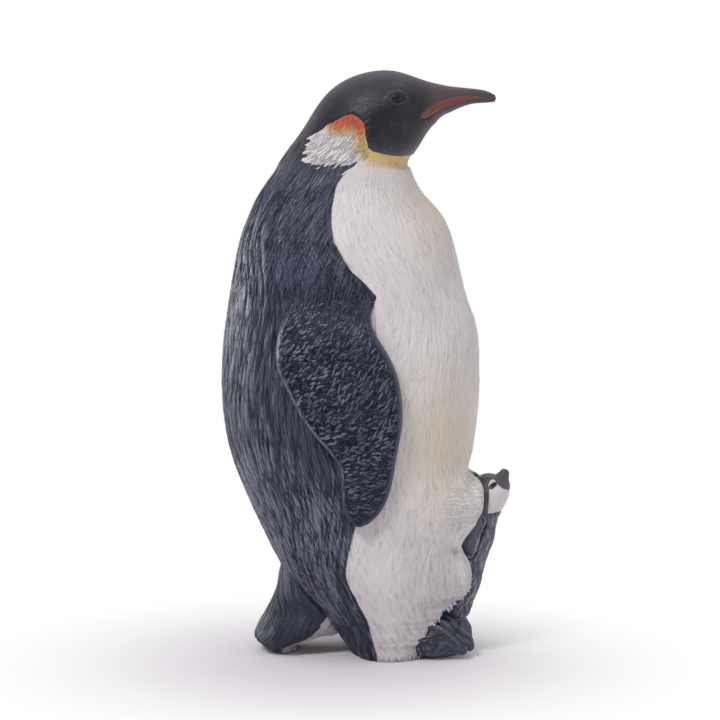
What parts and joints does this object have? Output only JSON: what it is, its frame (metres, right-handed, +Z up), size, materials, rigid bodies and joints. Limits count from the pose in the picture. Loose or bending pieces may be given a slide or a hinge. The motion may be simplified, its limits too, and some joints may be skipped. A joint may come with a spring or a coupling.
{
  "type": "penguin figurine",
  "caption": "Standing penguin figurine with a chick on its feet: hollow torso shells, head, flippers, tail and feet that plug together, on a flat base.",
  "frame": {"origin": "on the ground, under the middle of the figurine's box", "axes": "+X the way the penguin faces, +Y towards its left flipper, +Z up"},
  "size_m": [0.0448, 0.0398, 0.0899],
  "materials": {
    "dark_plumage": "satin paint, grooves washed black",
    "pale_plumage": "satin paint",
    "black_hood": "satin paint",
    "flipper_plumage": "satin paint, raised scales",
    "charcoal_skin": "satin paint",
    "grey_down": "satin paint"
  },
  "bodies": {
    "root": {"back_shell": "dark_plumage", "belly_shell": "pale_plumage", "head": "black_hood", "right_flipper": "flipper_plumage", "left_flipper": "flipper_plumage", "tail": "dark_plumage", "right_foot": "charcoal_skin", "left_foot": "charcoal_skin", "chick": "grey_down"}
  },
  "joints": []
}
